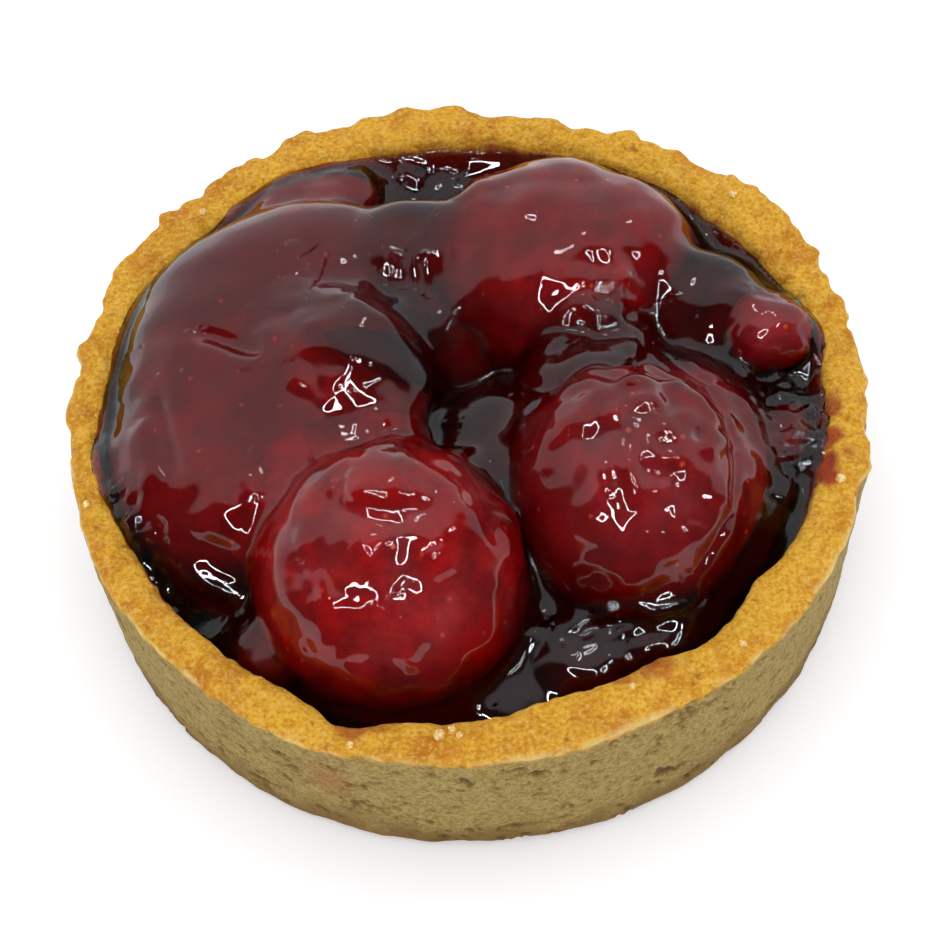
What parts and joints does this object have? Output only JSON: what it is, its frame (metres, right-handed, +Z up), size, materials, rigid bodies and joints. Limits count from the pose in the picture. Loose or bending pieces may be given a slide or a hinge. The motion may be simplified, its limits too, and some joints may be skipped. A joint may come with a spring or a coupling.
{
  "type": "strawberry tart",
  "caption": "Round shortcrust tart shell with straight sides, filled with whole strawberries and dark red jelly.",
  "frame": {"origin": "middle of the flat base, where the tart rests", "axes": "+Z up through the tart, the shortest extent; -Y towards the side that faces the viewer, +X to the right"},
  "size_m": [0.0799, 0.0808, 0.0306],
  "materials": {
    "crust": "dry baked shortcrust, golden on top and tan at the side",
    "jelly": "clear dark red jelly, wet gloss",
    "berry": "cooked strawberry under a clear glossy glaze"
  },
  "bodies": {
    "root": {"crust": "crust", "jelly": "jelly", "berry_front": "berry", "berry_right": "berry", "berry_back": "berry", "berry_left": "berry", "berry_left_back": "berry", "berry_right_low": "berry", "small_berry_right": "berry", "small_berry_edge": "berry", "small_berry_front": "berry", "small_berry_back": "berry"}
  },
  "joints": []
}
